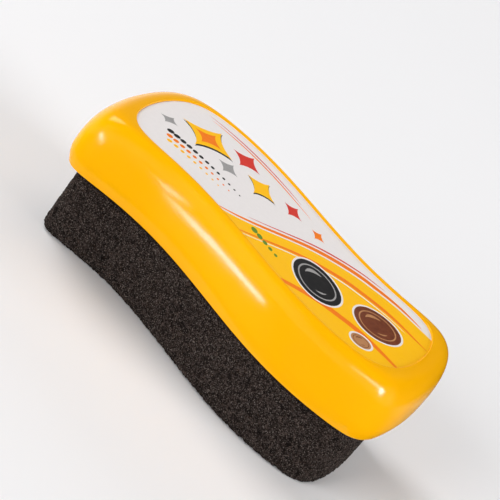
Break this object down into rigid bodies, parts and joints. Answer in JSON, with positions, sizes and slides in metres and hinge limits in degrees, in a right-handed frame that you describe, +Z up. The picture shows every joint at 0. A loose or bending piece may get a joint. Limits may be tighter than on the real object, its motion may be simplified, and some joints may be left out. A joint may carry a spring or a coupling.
{
  "type": "shoe shine sponge",
  "caption": "Hand-held shoe shine sponge: a hollow wave-shaped plastic handle with a label on top, an oil pad and drilled plate inside, and a dark foam block bonded under it.",
  "frame": {"origin": "centre of the foam's flat working face, which the part stands on", "axes": "+X along the length, +Z up from the foam to the label; the plan's wave swings towards -Y on the +X half"},
  "size_m": [0.13, 0.0726, 0.0453],
  "materials": {
    "handle_plastic": "glossy golden yellow moulded plastic",
    "label_stock": "satin coated label with a plain printed design",
    "oil_felt": "white felt wetted with silicone oil",
    "plate_plastic": "natural white moulded plastic",
    "bond_adhesive": "amber adhesive film",
    "shine_foam": "dark brown-grey fine open-cell foam"
  },
  "bodies": {
    "root": {"handle_shell": "handle_plastic", "top_label": "label_stock", "reservoir_pad": "oil_felt", "feed_plate": "plate_plastic", "bond_film": "bond_adhesive", "shine_sponge": "shine_foam"}
  },
  "joints": []
}
